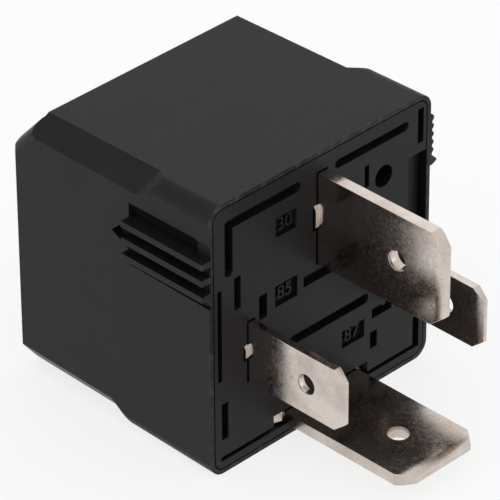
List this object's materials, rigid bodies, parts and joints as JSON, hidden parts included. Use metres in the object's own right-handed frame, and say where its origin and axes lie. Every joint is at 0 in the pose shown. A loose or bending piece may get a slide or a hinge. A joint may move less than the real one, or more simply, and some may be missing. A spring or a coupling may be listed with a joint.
{
  "type": "automotive relay",
  "caption": "Black plug-in automotive power relay with a cut-corner cover, a finned bracket rail, two broad and two small blade terminals, and its coil, hinged armature and contacts inside.",
  "frame": {"origin": "centre of the cover's mouth, in the plane where the relay meets its socket", "axes": "+Y from the terminals to the closed end, +Z from terminal 87 up to terminal 30, +X across the width"},
  "size_m": [0.0296, 0.0405, 0.0284],
  "materials": {
    "cover_plastic": "satin moulded",
    "base_plastic": "satin moulded",
    "tinned_brass": "satin plated",
    "zinc_iron": "satin plated",
    "bobbin_plastic": "satin moulded",
    "copper_wire": "enamelled",
    "tape_film": "gloss film",
    "spring_bronze": "satin",
    "contact_silver": "satin",
    "rivet_steel": "satin plated"
  },
  "bodies": {
    "housing": {"cover": "cover_plastic", "base_plate": "base_plastic", "terminal_30": "tinned_brass", "terminal_87": "tinned_brass", "terminal_85": "tinned_brass", "terminal_86": "tinned_brass", "yoke": "zinc_iron", "core": "zinc_iron", "bobbin": "bobbin_plastic", "coil_winding": "copper_wire", "coil_tape": "tape_film", "coil_lead_85": "copper_wire", "coil_lead_86": "copper_wire", "fixed_contact": "contact_silver", "spring_rivets": "rivet_steel", "terminal_rivet": "rivet_steel", "rest_stop": "zinc_iron"},
    "armature": {"armature": "zinc_iron", "contact_spring": "spring_bronze", "moving_contact": "contact_silver", "armature_rivets": "rivet_steel", "shunt_braid": "copper_wire"}
  },
  "joints": [
    {"name": "armature_pivot", "type": "hinge", "parent": "housing", "child": "armature", "pos_m": [0, 0.0206, 0.0105], "axis": [-1, 0, 0], "range_deg": [0, 3.2], "stiffness_Nm_per_rad": 0.02, "springref_deg": -20.05, "deforming": ["contact_spring", "shunt_braid"]}
  ]
}
